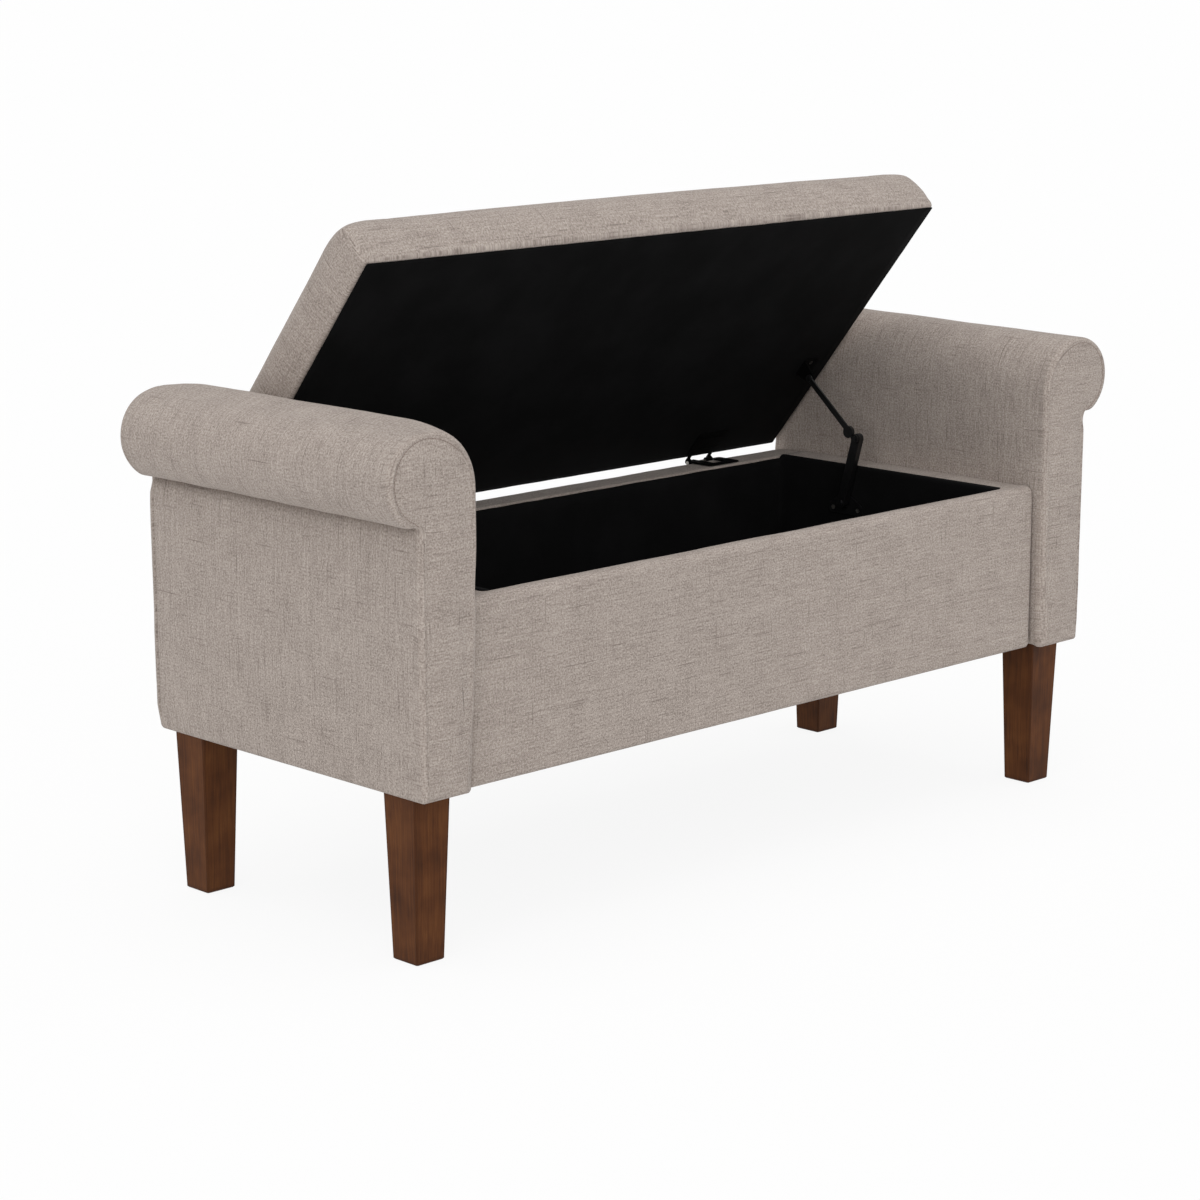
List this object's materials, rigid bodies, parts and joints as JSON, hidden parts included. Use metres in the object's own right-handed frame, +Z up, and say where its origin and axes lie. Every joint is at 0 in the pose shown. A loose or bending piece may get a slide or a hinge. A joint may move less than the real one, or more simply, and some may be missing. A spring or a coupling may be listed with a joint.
{
  "type": "upholstered storage bench",
  "caption": "Upholstered bench with rolled arms and tapered wooden legs; its padded lid swings up on folding stays over a lined storage well.",
  "frame": {"origin": "on the floor, under the middle of the bounding box with the lid open", "axes": "+X along the bench to its right arm as seen from the front, +Y to the back, +Z up"},
  "size_m": [1.2928, 0.532, 0.8263],
  "materials": {
    "cloth": "heathered woven cloth",
    "black_cloth": "matt non-woven",
    "foam": "soft foam",
    "plywood": "raw",
    "fibreboard": "raw",
    "walnut": "satin stain",
    "black_steel": "satin",
    "zinc_steel": "zinc plated"
  },
  "bodies": {
    "bench": {"front_panel_cover": "cloth", "back_panel_cover": "cloth", "left_rim_cover": "cloth", "right_rim_cover": "cloth", "well_lining": "black_cloth", "underside_dust_sheet": "black_cloth", "front_board": "plywood", "back_board": "plywood", "bottom_board": "plywood", "back_frame": "plywood", "back_inner_panel": "plywood", "left_side_frame": "plywood", "left_inner_panel": "plywood", "left_arm_cover": "cloth", "left_arm_frame": "plywood", "left_arm_former": "fibreboard", "front_left_leg": "walnut", "front_left_leg_bolt": "zinc_steel", "left_stay_foot_front_screw": "zinc_steel", "rear_left_leg": "walnut", "rear_left_leg_bolt": "zinc_steel", "left_stay_foot_rear_screw": "zinc_steel", "left_hinge_base_leaf": "black_steel", "left_hinge_pin": "zinc_steel", "left_stay_foot_plate": "black_steel", "left_stay_foot_rivet": "zinc_steel", "right_side_frame": "plywood", "right_inner_panel": "plywood", "right_arm_cover": "cloth", "right_arm_frame": "plywood", "right_arm_former": "fibreboard", "front_right_leg": "walnut", "front_right_leg_bolt": "zinc_steel", "right_stay_foot_front_screw": "zinc_steel", "rear_right_leg": "walnut", "rear_right_leg_bolt": "zinc_steel", "right_stay_foot_rear_screw": "zinc_steel", "right_hinge_base_leaf": "black_steel", "right_hinge_pin": "zinc_steel", "right_stay_foot_plate": "black_steel", "right_stay_foot_rivet": "zinc_steel"},
    "lid": {"lid_board": "plywood", "lid_foam": "foam", "lid_cover": "cloth", "lid_dust_cover": "black_cloth", "left_stay_lid_front_screw": "zinc_steel", "left_stay_lid_rear_screw": "zinc_steel", "left_hinge_lid_leaf": "black_steel", "left_stay_lid_bracket": "black_steel", "left_stay_lid_rivet": "zinc_steel", "right_stay_lid_front_screw": "zinc_steel", "right_stay_lid_rear_screw": "zinc_steel", "right_hinge_lid_leaf": "black_steel", "right_stay_lid_bracket": "black_steel", "right_stay_lid_rivet": "zinc_steel"},
    "left_stay_lower": {"left_stay_lower_arm": "black_steel"},
    "left_stay_upper": {"left_stay_upper_arm": "black_steel"},
    "right_stay_lower": {"right_stay_lower_arm": "black_steel"},
    "right_stay_upper": {"right_stay_upper_arm": "black_steel"}
  },
  "joints": [
    {"name": "lid_hinge", "type": "hinge", "parent": "bench", "child": "lid", "pos_m": [0, 0.21746, 0.4215], "axis": [1, 0, 0], "range_deg": [0, 51]},
    {"name": "left_stay_foot", "type": "hinge", "parent": "bench", "child": "left_stay_lower", "pos_m": [-0.4545, 0.03696, 0.3725], "axis": [1, 0, 0], "range_deg": [0, 78]},
    {"name": "left_stay_lid_pivot", "type": "hinge", "parent": "lid", "child": "left_stay_upper", "pos_m": [-0.4545, 0.09745, 0.54204], "axis": [1, 0, 0], "range_deg": [-73.5, 0]},
    {"name": "right_stay_foot", "type": "hinge", "parent": "bench", "child": "right_stay_lower", "pos_m": [0.4545, 0.03696, 0.3725], "axis": [1, 0, 0], "range_deg": [0, 78]},
    {"name": "right_stay_lid_pivot", "type": "hinge", "parent": "lid", "child": "right_stay_upper", "pos_m": [0.4545, 0.09745, 0.54204], "axis": [1, 0, 0], "range_deg": [-73.5, 0]}
  ],
  "couplings": [
    {"joint": "left_stay_foot", "follows": "lid_hinge", "ratio": 1.5254},
    {"joint": "left_stay_lid_pivot", "follows": "lid_hinge", "ratio": -1.4375},
    {"joint": "right_stay_foot", "follows": "lid_hinge", "ratio": 1.5254},
    {"joint": "right_stay_lid_pivot", "follows": "lid_hinge", "ratio": -1.4375}
  ]
}
